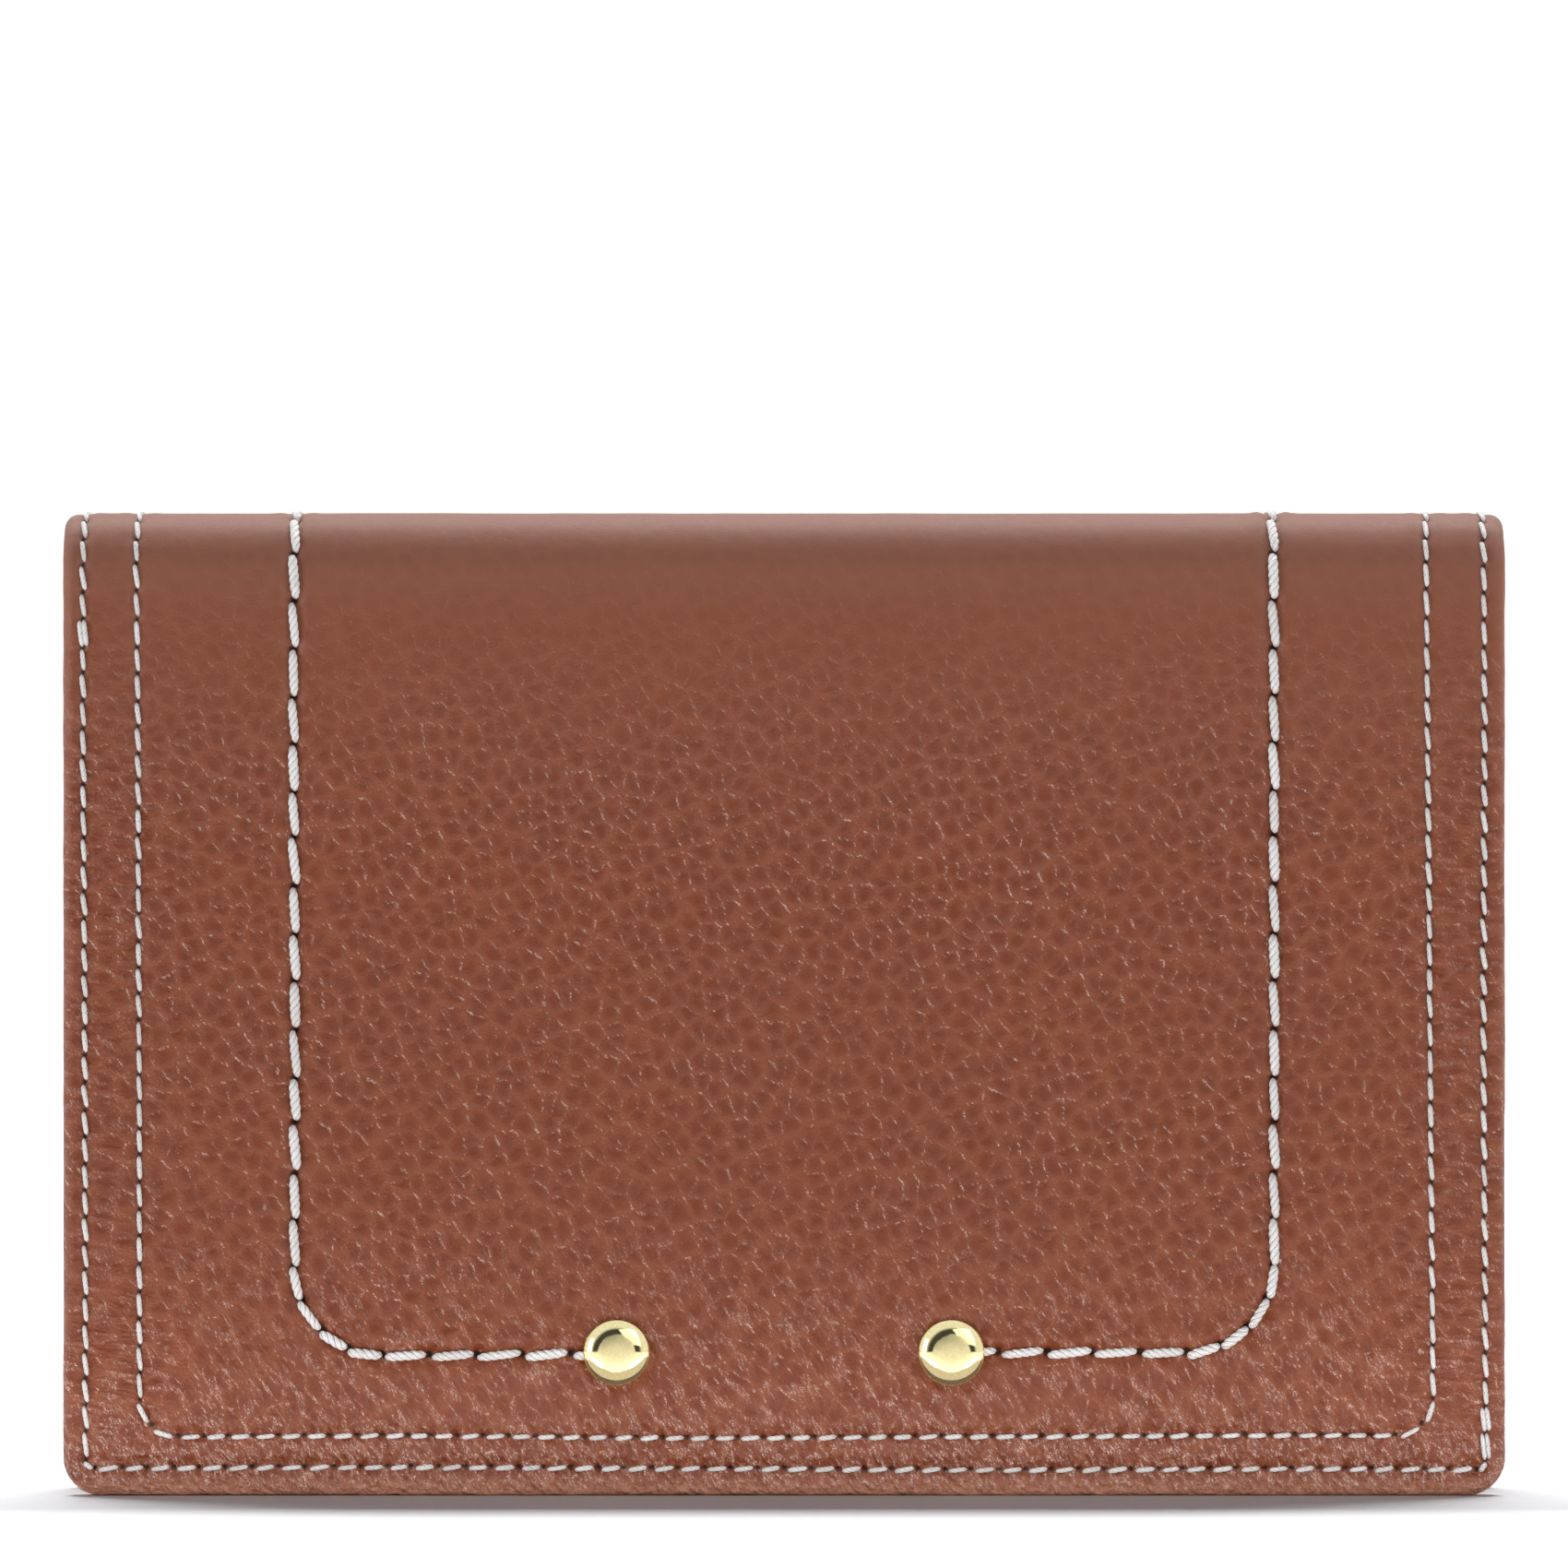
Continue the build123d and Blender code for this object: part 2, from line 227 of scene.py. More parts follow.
def cut_tile(low, high, cell, levels):
    """A flat rectangle cut into squares, each split further where levels() asks for it.

    Returns the corner places, the polygons and each corner's whole-number place in the finest grid.
    """
    finest = 8
    counts = [max(1, round((high[k] - low[k]) / cell)) for k in (0, 1)]
    steps = [(high[k] - low[k]) / counts[k] / finest for k in (0, 1)]
    i, j = [a.ravel() * finest for a in np.meshgrid(*(np.arange(n) for n in counts), indexing="ij")]
    size, leaves = finest, []
    for level in range(4):
        x = low[0] + (i + size / 2) * steps[0]
        v = low[1] + (j + size / 2) * steps[1]
        split = levels(x, v) > level if size > 1 else np.zeros(len(i), bool)
        leaves.append((i[~split], j[~split], np.full((~split).sum(), size)))
        i, j, half = i[split], j[split], size // 2
        i = np.concatenate([i, i + half, i, i + half])
        j = np.concatenate([j, j, j + half, j + half])
        size = half
    i, j, size = (np.concatenate(parts) for parts in zip(*leaves))
    ends = [n * finest for n in counts]
    wide = ends[1] + 1
    corners = [i * wide + j, (i + size) * wide + j, (i + size) * wide + j + size, i * wide + j + size]
    keys = np.unique(np.concatenate(corners))
    number = {key: n for n, key in enumerate(keys.tolist())}
    polygons = []
    for a, b, side in zip(i.tolist(), j.tolist(), size.tolist()):
        loop = []
        for start, step in (
            (a * wide + b, wide),
            ((a + side) * wide + b, 1),
            ((a + side) * wide + b + side, -wide),
            (a * wide + b + side, -1),
        ):
            loop += [number[k] for k in range(start, start + side * step, step) if k in number]
        polygons.append(loop)
    places = np.stack([keys // wide, keys % wide], axis=-1)
    x, v = low[0] + places[:, 0] * steps[0], low[1] + places[:, 1] * steps[1]
    return x, v, polygons, places, ends


def round_corner(x, v, corner_x, corner_v, inward_x, inward_v, radius):
    """Moves the points in a tile's corner square so that its two outer sides become an arc."""
    centre_x, centre_v = corner_x + inward_x * radius, corner_v + inward_v * radius
    a, b = (centre_x - x) * inward_x / radius, (centre_v - v) * inward_v / radius
    inside = (a > 0) & (b > 0)
    a, b = np.where(inside, a, 1.0), np.where(inside, b, 0.0)
    reach = np.maximum(a, b)
    angle = np.where(a >= b, b / a, 2 - a / np.maximum(b, 1e-9)) * math.pi / 4
    x = np.where(inside, centre_x - inward_x * radius * reach * np.cos(angle), x)
    v = np.where(inside, centre_v - inward_v * radius * reach * np.sin(angle), v)
    return x, v


def outward(x, v, low, high, corner):
    """Unit vectors pointing out of a rounded rectangle from points on its outline."""
    centre_x = np.clip(x, low[0] + corner, high[0] - corner)
    centre_v = np.clip(v, low[1] + corner, high[1] - corner)
    away = np.stack([x - centre_x, v - centre_v], axis=-1)
    return away / np.maximum(np.linalg.norm(away, axis=-1, keepdims=True), 1e-9)


def outline(places, ends):
    """A tile's edge points: down its left side, along its bottom, up its right side, and its top."""
    at = np.arange(len(places))
    left = at[places[:, 0] == 0][::-1]
    bottom = at[places[:, 1] == 0][1:-1]
    right = at[places[:, 0] == ends[0]]
    top = at[places[:, 1] == ends[1]]
    return left, bottom, right, top


# ---------------------------------------------------------------- meshes


def new_piece(name, points, polygons, material, smooth_angle=50):
    """A mesh object from points in millimetres, its faces turned outwards."""
    mesh = bpy.data.meshes.new(name)
    mesh.from_pydata((points * MM).tolist(), [], polygons)
    work = bmesh.new()
    work.from_mesh(mesh)
    bmesh.ops.recalc_face_normals(work, faces=work.faces)
    work.to_mesh(mesh)
    work.free()
    mesh.polygons.foreach_set("use_smooth", np.ones(len(mesh.polygons), bool))
    mesh.set_sharp_from_angle(angle=math.radians(smooth_angle))
    mesh.materials.append(material)
    piece = bpy.data.objects.new(name, mesh)
    bpy.context.scene.collection.objects.link(piece)
    return piece


def give(piece, name, values):
    """Stores one or three numbers per point for a material to read."""
    kind, key = ("FLOAT", "value") if values.ndim == 1 else ("FLOAT_VECTOR", "vector")
    values = np.ascontiguousarray(values, np.float32).ravel()
    piece.data.attributes.new(name, kind, "POINT").data.foreach_set(key, values)


def stitched_loops(first, second):
    """Quads between two rings or strips of point numbers of the same length."""
    return [[first[k], first[k + 1], second[k + 1], second[k]] for k in range(len(first) - 1)]


def close_back(polygons, ring, rows_up):
    """Closes a shell's back with strips from side to side, and returns its two top corners.

    The ring goes down the left side, along the bottom and up the right side.
    """
    left, right = ring[:rows_up][::-1].tolist(), ring[-rows_up:].tolist()
    polygons.append([left[0], *ring[rows_up:-rows_up].tolist(), right[0]])
    polygons.extend(stitched_loops(left, right))
    return left[-1], right[-1]


def cap_end(polygons, top, first, size, rings):
    """Closes a shell's end at the spine's middle, where it meets the other half."""
    right_end = [first + (k + 1) * size - 1 for k in range(rings)]
    left_end = [first + k * size for k in range(rings)]
    polygons.append(top.tolist() + right_end + left_end[::-1])


def wrap(side, x, v, depth, edge, normal, rings, polygons, closed=False):
    """Carries a flat drawing's edge on round its rim, ring by ring, and adds the faces.

    Each ring is its places, its depth, and how far along the surface it lies from the outer face. A
    closed edge starts and ends at one point. Returns the points, their drawing and the last ring.
    """
    points = [roll(side, x, v, depth)]
    flat = [np.stack([x, v], axis=-1)]
    count, previous, size = len(x), edge, len(edge) - closed
    for ring_x, ring_v, depth, walk in rings:
        ring = count + np.arange(len(edge)) % size
        points.append(roll(side, ring_x, ring_v, depth)[:size])
        flat.append((flat[0][edge] + normal * walk)[:size])
        polygons += stitched_loops(previous.tolist(), ring.tolist())
        count += size
        previous = ring
    return points, flat, previous


def finish_skin(name, points, flat, polygons, hole, material, seed, grain_shift=0):
    """A leather or cloth piece with its grain, its flat drawing and its needle holes for the material."""
    piece = new_piece(name, np.concatenate(points), polygons, material)
    flat = np.concatenate(flat)
    give(piece, "grain", grain_places(flat[:, 0], flat[:, 1] + grain_shift))
    give(piece, "drawn", np.column_stack([flat, np.full(len(flat), float(seed))]))
    give(piece, "hole", np.concatenate([hole, np.zeros(len(flat) - len(hole))]))
    return piece


# ---------------------------------------------------------------- cover leather


def swell(x, v, flat, seed):
    """The leather's own unevenness: small lumps, a soft belly, and puckers along the foot."""
    height = 0.045 * lumps(x, v, 9.0, seed) + 0.022 * lumps(x, v, 3.1, seed + 1)
    height = (height + 0.012 * lumps(x, v, 1.3, seed + 2)) * flat
    belly = np.cos(np.clip(x / HALF_WIDTH, -1, 1) * math.pi / 2)
    height += 0.16 * belly * smooth(v, 2.0, 22.0) * smooth(74.0 - v, 0, 12)
    puckers = lumps(x / 0.9, v / 2.4, 1.0, seed + 3)
    height += 0.07 * puckers * smooth(8.0 - v, 0.0, 2.5) * smooth(v, 0.3, 1.5)
    return height


def press_row(height, x, v, row, first, flat, seed):
    """Beds a thread row in the leather: a groove, swollen sides, and a pull and a pit at each hole.

    Changes the height, and returns how deep in a needle hole each point is.
    """
    thread = row["radius"]
    inside, s = near_row(row, x, v)
    distance, length = np.abs(inside), np.abs(s)
    on = smooth(length, first - 0.8, first + 0.2) if first > 0 else 1.0
    on_run = smooth(leg_start(row) - length, 0.0, 2.0)
    along = nearest(s, np.concatenate(row_holes(row, first)))
    bedding = 0.6 - 0.35 * smooth(v, FOLD_FOOT, V_SPINE - 1)
    height -= on * bedding * thread * np.exp(-((distance / (2.2 * thread)) ** 2))
    puff = 1 + 0.5 * lumps(x, v, 1.7, seed)
    overhang = 0.34 * thread * (1 + 0.9 * on_run * (inside > 0))
    height += on * overhang * puff * np.exp(-(((distance - 1.1) / 0.5) ** 2)) * flat
    pull = np.exp(-distance / 0.8) * np.exp(-((along / 0.45) ** 2))
    height -= on * 0.30 * thread * pull * flat
    off_line = (inside - 0.10 * on_run) / (0.80 * thread + 0.04)
    pit = np.exp(-((along / (0.14 + 0.4 * thread + 0.08 * on_run)) ** 2) - off_line ** 2)
    height -= on * 1.0 * thread * pit
    return on * smooth(pit, 0.2, 0.8)


def leather_relief(x, v, rows, rivets, seed):
    """Height of a cover's leather over its flat drawing, and how deep in a needle hole each point is."""
    flat = smooth(V_MIDDLE - v, 0.3, 3.0)
    height = swell(x, v, flat, seed)
    hole = np.zeros_like(x)
    for row, first in rows:
        hole = np.maximum(hole, press_row(height, x, v, row, first, flat, seed + 5))
    if rivets:
        for centre in (-RIVET_X, RIVET_X):
            away = np.hypot(x - centre, v - RIVET_Z)
            height -= 0.22 * np.exp(-(((away - 2.3) / 0.6) ** 2))
            height += 0.07 * np.exp(-(((away - 3.7) / 0.7) ** 2)) * (1 + lumps(x, v, 2.1, seed + 7))
    on_bend = smooth(v, FOLD_FOOT - 2, V_SPINE)
    height -= 0.12 * smooth(np.abs(x), HALF_WIDTH - 2.6, HALF_WIDTH - 0.6) * on_bend
    return height, hole


def grain_places(x, v):
    """Where each point lies in the leather's grain: it leans, and is drawn out towards the seams."""
    lean = math.radians(24)
    edge_reach, foot_reach = 3.0, 9.0
    gap = np.maximum(HALF_WIDTH - np.abs(x), 0)
    wide = x - np.sign(x) * 0.5 * edge_reach * np.exp(-gap / edge_reach)
    tall = v + 0.55 * foot_reach * np.exp(-np.maximum(v, 0) / foot_reach)
    along = -wide * math.sin(lean) + tall * math.cos(lean)
    across = wide * math.cos(lean) + tall * math.sin(lean)
    return np.stack([across, along * 0.88, np.zeros_like(x)], axis=-1)


def cover_skin(name, side, rows, rivets, material, seed):
    """One cover's leather with its turned edge and hem, from its opening edge to the spine's middle."""
    low = (-HALF_WIDTH + OUTER_ROUND, OUTER_ROUND)
    high = (HALF_WIDTH - OUTER_ROUND, V_MIDDLE)
    corner = BOTTOM_CORNER - OUTER_ROUND

    def levels(x, v):
        wanted = np.ones_like(x)
        for row, first in rows:
            inside, s = near_row(row, x, v)
            distance = np.abs(inside)
            on = np.abs(s) > first - 1.0
            along = nearest(s, np.concatenate(row_holes(row, first)))
            wanted = np.where(on & (distance < 1.1), np.maximum(wanted, 2), wanted)
            close = on & (distance < 0.42) & (along < 0.55)
            wanted = np.where(close, 3, wanted)
        return wanted

    x, v, polygons, places, ends = cut_tile(low, high, 1.0, levels)
    x, v = round_corner(x, v, low[0], low[1], 1, 1, corner)
    x, v = round_corner(x, v, high[0], low[1], -1, 1, corner)
    height, hole = leather_relief(x, v, rows, rivets, seed)

    left, bottom, right, top = outline(places, ends)
    edge = np.concatenate([left, bottom, right])
    edge_x, edge_v = x[edge], v[edge]
    normal = outward(edge_x, edge_v, low, (high[0], V_MIDDLE + 50), corner)
    wave = 0.02 * lumps(edge_x + edge_v, edge_x - edge_v, 2.3, seed + 9)
    wave += 0.03 * lumps(edge_x + edge_v, edge_x - edge_v, 9.0, seed + 10)

    def offset(out, depth, walk):
        return edge_x + normal[:, 0] * out, np.maximum(edge_v + normal[:, 1] * out, 0), depth, walk

    def hem(depth, walk):
        share = (high[1] - HEM) / (high[1] - low[1])
        inner_v = high[1] - (high[1] - edge_v) * share
        return edge_x * (HALF_WIDTH - HEM) / high[0], inner_v, depth, walk

    # The leather goes round the rim, along the hem's face to its end, and back under the hem to the rim.
    rings = []
    for step in range(1, 8):
        turn = math.pi / 2 * step / 7
        lift = height[edge] * (1 - step / 7)
        puff = wave * math.sin(turn) * 0.9
        out = OUTER_ROUND * math.sin(turn) + puff
        rings.append(offset(out, OUTER_ROUND * (1 - math.cos(turn)) - lift, OUTER_ROUND * turn))
    for step in range(0, 5):
        turn = math.pi / 2 * step / 4
        out = OUTER_ROUND - INNER_ROUND * (1 - math.cos(turn)) + wave * (1 - step / 4)
        walk = OUTER_ROUND * math.pi / 2 + 0.6 + INNER_ROUND * turn
        rings.append(offset(out, COVER - INNER_ROUND * (1 - math.sin(turn)), walk))
    rings += [hem(COVER, 10.0), hem(BOARD_FOOT, 10.5)]
    rings += [offset(-0.1, BOARD_FOOT, 17.0), offset(-0.1, LEATHER, 17.6)]
    points, flat, last = wrap(side, x, v, -height, edge, normal, rings, polygons)
    close_back(polygons, last, len(left))
    cap_end(polygons, top, len(x), len(edge), len(rings))
    return finish_skin(name, points, flat, polygons, hole, material, seed)


# ---------------------------------------------------------------- stitches


class Thread:
    """Gathers twisted stitches into one mesh, each of them a closed tube of rings of points."""

    def __init__(self, rings, sides, twist):
        self.rings, self.sides, self.twist = rings, sides, twist
        self.points, self.strands, self.tones = [], [], []

    def stitch(self, x, v, heading, length, radius, squash, lift, dive):
        """Flat places, depths and strand places of a stitch that dives at both ends."""
        t = np.linspace(-1, 1, self.rings)[:, None]
        turn = np.linspace(0, 2 * math.pi, self.sides, endpoint=False)[None, :]
        body = (1 - np.abs(t) ** 4.5) ** 0.5
        wound = (PLIES * (turn - self.twist * t * length / 2)) / 2
        plied = 1 - PLY_DEPTH + PLY_DEPTH * np.abs(np.cos(wound)) ** 0.7
        along = t * length / 2 + 0 * turn
        across = radius * body * plied * np.cos(turn)
        up = radius * squash * body * plied * np.sin(turn)
        rise = lift - dive * np.abs(t) ** 6
        crest = (plied - 1 + PLY_DEPTH) / PLY_DEPTH + 0 * along
        head_x, head_v = math.cos(heading), math.sin(heading)
        flat_x = x + head_x * along - head_v * across
        flat_v = v + head_v * along + head_x * across
        return flat_x, flat_v, -(rise + up), np.stack([turn + 0 * along, along, crest], axis=-1)

    def add(self, points, strand, tone):
        self.points.append(points.reshape(-1, 3))
        self.strands.append(strand.reshape(-1, 3))
        self.tones.append(np.full(self.rings * self.sides, tone))

    def finish(self, name, material):
        rings, sides = self.rings, self.sides
        tube = []
        for a in range(rings - 1):
            for b in range(sides):
                c = (b + 1) % sides
                tube.append([a * sides + b, a * sides + c, (a + 1) * sides + c, (a + 1) * sides + b])
        tube += [list(range(sides))[::-1], [(rings - 1) * sides + b for b in range(sides)]]
        starts = range(0, len(self.points) * rings * sides, rings * sides)
        polygons = [[n + start for n in face] for start in starts for face in tube]
        piece = new_piece(name, np.concatenate(self.points), polygons, material, smooth_angle=80)
        give(piece, "strand", np.concatenate(self.strands))
        give(piece, "tone", np.concatenate(self.tones))
        return piece


def thread_row(name, side, row, first, material, rings, sides, twist, lean, seed):
    """One piece of thread: every stitch of a row on one half of the holder."""
    chance = np.random.RandomState(seed)
    sewn = Thread(rings, sides, twist)
    for holes in row_holes(row, first):
        for start, end in zip(holes[:-1], holes[1:]):
            middle = (start + end) / 2
            x, v, head_x, head_v = (float(value) for value in on_row(row, middle))
            kind = sum(abs(middle) > stop for _, stop in stretches(row, first)[:2])
            straight = 1 if side == FRONT else -1
            turn = math.radians(lean + chance.uniform(-3, 3)) * straight
            heading = math.atan2(head_v, head_x) + turn
            fits = min(1.0, (end - start) / row["pitch"][kind])
            length = row["shown"][kind] * fits * chance.uniform(0.95, 1.04)
            radius = row["radius"] * chance.uniform(0.92, 1.08)
            sink = 0.05 * radius * float(smooth(v, FOLD_FOOT - 1, V_SPINE))
            twin = side == FRONT and any(
                x * way > 0 and low < v < high for way, low, high in row.get("doubled", ())
            )
            for apart in (-TWIN_GAP, TWIN_GAP) if twin else (0.0,):
                flat_x, flat_v, depth, strand = sewn.stitch(
                    x - math.sin(heading) * apart,
                    v + math.cos(heading) * apart,
                    heading,
                    length * (1.1 if twin else 1.0),
                    radius,
                    squash=0.78,
                    lift=(0.12 + 0.5 * (apart > 0)) * radius - sink,
                    dive=1.1 * radius,
                )
                sewn.add(roll(side, flat_x, flat_v, depth), strand, chance.uniform(0, 1))
    return sewn.finish(name, material)


# ---------------------------------------------------------------- interior panels


def panel_piece(
    name, side, half_width, foot, top, near, far, corners, material, mouth_row, seed, bends=False
):
    """A thin panel with eased edges; its far face is the one seen when the holder is open.

    A panel that bends goes on to the spine's middle and has no top edge there.
    """
    edge_round = min(0.28, (far - near) * 0.49)
    low = (-half_width + edge_round, foot + edge_round)
    high = (half_width - edge_round, top - (0 if bends else edge_round))
    bottom_corner, top_corner = (max(c - edge_round, 0.05) for c in corners)

    def levels(x, v):
        wanted = np.zeros_like(x)
        if mouth_row:
            wanted = np.where(np.abs(v - mouth_row["v"]) < 0.9, 2, wanted)
        edge = np.minimum(half_width - np.abs(x), np.minimum(v - foot, top - v))
        wanted = np.where(edge < 1.2, np.maximum(wanted, 1), wanted)
        return np.where(v > FOLD_FOOT - 1.0, np.maximum(wanted, 1), wanted)

    x, v, polygons, places, ends = cut_tile(low, high, 1.0, levels)
    for corner_x, inward in ((low[0], 1), (high[0], -1)):
        x, v = round_corner(x, v, corner_x, low[1], inward, 1, bottom_corner)
        if not bends:
            x, v = round_corner(x, v, corner_x, high[1], inward, -1, top_corner)
    away = np.minimum(half_width - np.abs(x), np.minimum(v - foot, (V_MIDDLE if bends else top) - v))
    height = 0.03 * lumps(x, v, 8.0, seed) * smooth(away, 0.2, 3.0)
    hole = np.zeros_like(x)
    if mouth_row:
        distance = np.abs(v - mouth_row["v"])
        along = np.abs((x / mouth_row["pitch"] + 0.5) % 1 - 0.5) * mouth_row["pitch"]
        on = smooth(mouth_row["half"] - np.abs(x), -0.3, 0.3)
        height -= on * 0.07 * np.exp(-((distance / 0.35) ** 2))
        hole = on * np.exp(-((along / 0.2) ** 2) - (distance / 0.2) ** 2)
        height -= 0.1 * hole
    left, bottom, right, over = outline(places, ends)
    across = [] if bends else [over[1:-1][::-1], left[:1]]
    edge = np.concatenate([left, bottom, right, *across])
    edge_x, edge_v = x[edge], v[edge]
    corner = np.where(edge_v > (low[1] + high[1]) / 2, top_corner, bottom_corner)
    ceiling = V_MIDDLE + 50 if bends else high[1]
    normal = outward(edge_x, edge_v, low, (high[0], ceiling), corner)

    quarters = [math.pi / 2 * step / 4 for step in range(5)]
    profile = [(edge_round * math.sin(a), far - edge_round * (1 - math.cos(a))) for a in quarters[1:]]
    profile += [(edge_round * math.cos(a), near + edge_round * (1 - math.sin(a))) for a in quarters[:4]]
    profile.append((0.0, near))
    rings = [
        (edge_x + normal[:, 0] * out, edge_v + normal[:, 1] * out, depth, out + far - depth)
        for out, depth in profile
    ]
    points, flat, last = wrap(side, x, v, far + height, edge, normal, rings, polygons, not bends)
    turned = len(left) + len(bottom) + len(right)
    top_left, top_right = close_back(polygons, last[:turned], len(left))
    if bends:
        cap_end(polygons, over, len(x), len(edge), len(rings))
    else:
        polygons.append([top_left, *last[turned:-1][::-1].tolist(), top_right])
    return finish_skin(name, points, flat, polygons, hole, material, seed, grain_shift=40)


# ---------------------------------------------------------------- materials


class Nodes:
    """Short names for building a tree of shader nodes."""

    def __init__(self, tree):
        self.tree = tree

    def feed(self, node, inputs):
        """Links or sets each of a node's inputs, which are named or numbered."""
        for key, value in inputs.items():
            if isinstance(value, bpy.types.NodeSocket):
                self.tree.links.new(value, node.inputs[key])
            else:
                node.inputs[key].default_value = value

    def add(self, kind, inputs, **settings):
        """Makes a node, and returns its outputs."""
        node = self.tree.nodes.new(kind)
        for key, value in settings.items():
            setattr(node, key, value)
        self.feed(node, inputs)
        return node.outputs

    def attribute(self, name, output):
        return self.add("ShaderNodeAttribute", {}, attribute_name=name)[output]

    def math(self, operation, a, b=0.0):
        return self.add("ShaderNodeMath", {0: a, 1: b}, operation=operation)[0]

    def product(self, first, *others):
        for value in others:
            first = self.math("MULTIPLY", first, value)
        return first

    def total(self, first, *others):
        for value in others:
            first = self.math("ADD", first, value)
        return first

    def range(self, value, from_low, from_high, to_low, to_high):
        ends = {"From Min": from_low, "From Max": from_high, "To Min": to_low, "To Max": to_high}
        return self.add("ShaderNodeMapRange", {"Value": value, **ends}, interpolation_type="SMOOTHSTEP")[0]

    def scaled(self, vector, scale):
        return self.add("ShaderNodeMapping", {"Vector": vector, "Scale": scale})[0]

    def place(self):
        """Where a point lies on its own object, in metres."""
        return self.add("ShaderNodeTexCoord", {})["Object"]

    def in_millimetres(self):
        return self.scaled(self.place(), (1000.0,) * 3)

    def slanted(self, vector, degrees, width, length):
        """Coordinates for features of a given size in millimetres, leaning to the left as they rise."""
        turn = (0.0, 0.0, math.radians(degrees))
        inputs = {"Vector": vector, "Rotation": turn, "Scale": (width, length, 1.0)}
        return self.add("ShaderNodeMapping", inputs, vector_type="TEXTURE")[0]

    def split(self, vector):
        return self.add("ShaderNodeSeparateXYZ", {0: vector})

    def noise(self, vector, scale, detail=2.0, output="Fac"):
        inputs = {"Vector": vector, "Scale": scale, "Detail": detail}
        return self.add("ShaderNodeTexNoise", inputs)[output]

    def mix(self, share, first, second):
        return self.add("ShaderNodeMix", {0: share, 6: first, 7: second}, data_type="RGBA")[2]

    def bump(self, height, distance):
        return self.add("ShaderNodeBump", {"Distance": distance, "Height": height})[0]


class Surface(Nodes):
    """A material's nodes."""

    def __init__(self, name):
        self.material = bpy.data.materials.new(name)
        self.material.use_nodes = True
        super().__init__(self.material.node_tree)
        self.shader = self.tree.nodes["Principled BSDF"]

    def finish(self, **inputs):
        """Feeds the shader, and returns the material."""
        self.feed(self.shader, {key.replace("_", " "): value for key, value in inputs.items()})
        return self.material


def srgb(red, green, blue):
    """A colour given as 0 to 255 screen values, in linear light."""
    return (*(((c / 255 + 0.055) / 1.055) ** 2.4 for c in (red, green, blue)), 1.0)


# Cover leather: the pebbles, whose colour also paints shade in wrinkle and pucker troughs, the paler ground
# between them, pale specks whose colour also paints sheen on crease crests and towards the foot, painted
# highlight strokes, painted sheen over the fold, painted light along the bottom edge, cloudy patches, and
# painted shade in a needle hole.
PEBBLE_AND_TROUGH_SHADE = srgb(118, 47, 5)
GROUND = srgb(139, 71, 38)
SPECK_AND_PAINTED_SHEEN = srgb(184, 128, 108)
PAINTED_GLINT = srgb(232, 198, 184)
FOLD_PAINTED_SHEEN = srgb(130, 97, 85)
EDGE_PAINTED_LIGHT = srgb(238, 170, 140)
CLOUD = srgb(118, 56, 34)
HOLE_PAINTED_SHADE = srgb(36, 18, 12)
PEBBLE_SCALE = 0.75
PEBBLE_CHAOS = 0.85
RELIEF = 0.00012


def pebbles(n, grain, off):
    """Uneven cells: how far each point is from its border, turned to the light, and from its centre."""

    def cells(place, feature):
        inputs = {"Vector": place, "Scale": PEBBLE_SCALE, "Randomness": PEBBLE_CHAOS}
        return n.add("ShaderNodeTexVoronoi", inputs, feature=feature, voronoi_dimensions="2D")["Distance"]

    stray = {0: n.noise(grain, 0.7, 2.0, "Color"), 1: (0.9, 0.9, 0.0), 2: grain}
    place = n.add("ShaderNodeVectorMath", stray, operation="MULTIPLY_ADD")[0]
    border = cells(place, "DISTANCE_TO_EDGE")
    below = n.add("ShaderNodeVectorMath", {0: place, 1: (-0.17, -0.07, 0.0)}, operation="ADD")[0]
    facing = n.math("SUBTRACT", cells(below, "DISTANCE_TO_EDGE"), border)
    from_centre = n.total(cells(place, "F1"), n.product(off, 0.6))
    return n.total(border, n.product(off, 0.22)), facing, from_centre


def wrinkles(n, drawn, beside):
    """Creases that slant at the foot and lie level at the sides."""
    slanting = n.noise(n.slanted(drawn, 32, 0.75, 2.4), 1.0, 3.0)
    level = n.noise(n.slanted(drawn, 82, 0.6, 2.2), 1.0, 3.0)
    return n.total(slanting, n.product(n.math("SUBTRACT", level, slanting), beside))


